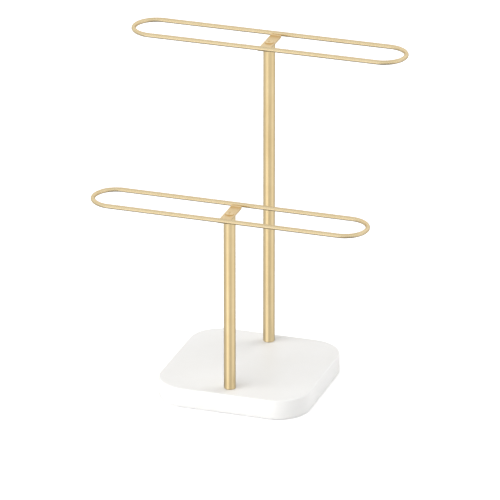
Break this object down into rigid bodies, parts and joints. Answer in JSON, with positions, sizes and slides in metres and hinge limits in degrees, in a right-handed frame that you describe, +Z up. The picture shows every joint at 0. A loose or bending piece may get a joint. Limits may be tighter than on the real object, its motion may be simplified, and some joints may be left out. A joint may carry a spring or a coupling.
{
  "type": "sunglasses display stand",
  "caption": "Free-standing rack: long wire loops at different heights, each turning on its own round post above a rounded square base, for hanging sunglasses.",
  "frame": {"origin": "on the table, under the middle of the stand, midway between the posts", "axes": "+Z up; +X along the rings, to the right seen from the front; -Y to the front, where the short post and the lower ring are"},
  "size_m": [0.255, 0.154, 0.3088],
  "materials": {
    "gold_tube": "satin champagne gold, electroplated and lacquered steel tube",
    "gold_wire": "satin champagne gold, electroplated and lacquered steel wire",
    "gold_strap": "satin champagne gold, electroplated and lacquered flat steel",
    "gold_screw": "satin champagne gold, plated steel",
    "white_base": "off-white satin lacquer over fibreboard",
    "zinc_steel": "bright zinc plate",
    "brass_insert": "turned brass",
    "rubber": "pale grey silicone rubber"
  },
  "bodies": {
    "stand": {"front_left_foot": "rubber", "front_right_foot": "rubber", "rear_left_foot": "rubber", "rear_right_foot": "rubber", "base_slab": "white_base", "front_post_tube": "gold_tube", "front_post_foot_insert": "brass_insert", "front_post_top_insert": "brass_insert", "front_post_bolt": "zinc_steel", "front_post_washer": "zinc_steel", "front_post_lock_washer": "zinc_steel", "rear_post_tube": "gold_tube", "rear_post_foot_insert": "brass_insert", "rear_post_top_insert": "brass_insert", "rear_post_bolt": "zinc_steel", "rear_post_washer": "zinc_steel", "rear_post_lock_washer": "zinc_steel", "lower_ring_screw": "gold_screw", "upper_ring_screw": "gold_screw"},
    "lower_rack": {"lower_ring_wire": "gold_wire", "lower_ring_strap": "gold_strap"},
    "upper_rack": {"upper_ring_wire": "gold_wire", "upper_ring_strap": "gold_strap"}
  },
  "joints": [
    {"name": "lower_ring_swivel", "type": "hinge", "parent": "stand", "child": "lower_rack", "pos_m": [0, -0.055, 0.18635], "axis": [0, 0, 1], "range_deg": [-74, 74]},
    {"name": "upper_ring_swivel", "type": "hinge", "parent": "stand", "child": "upper_rack", "pos_m": [0, 0.055, 0.30685], "axis": [0, 0, 1], "continuous": true}
  ]
}
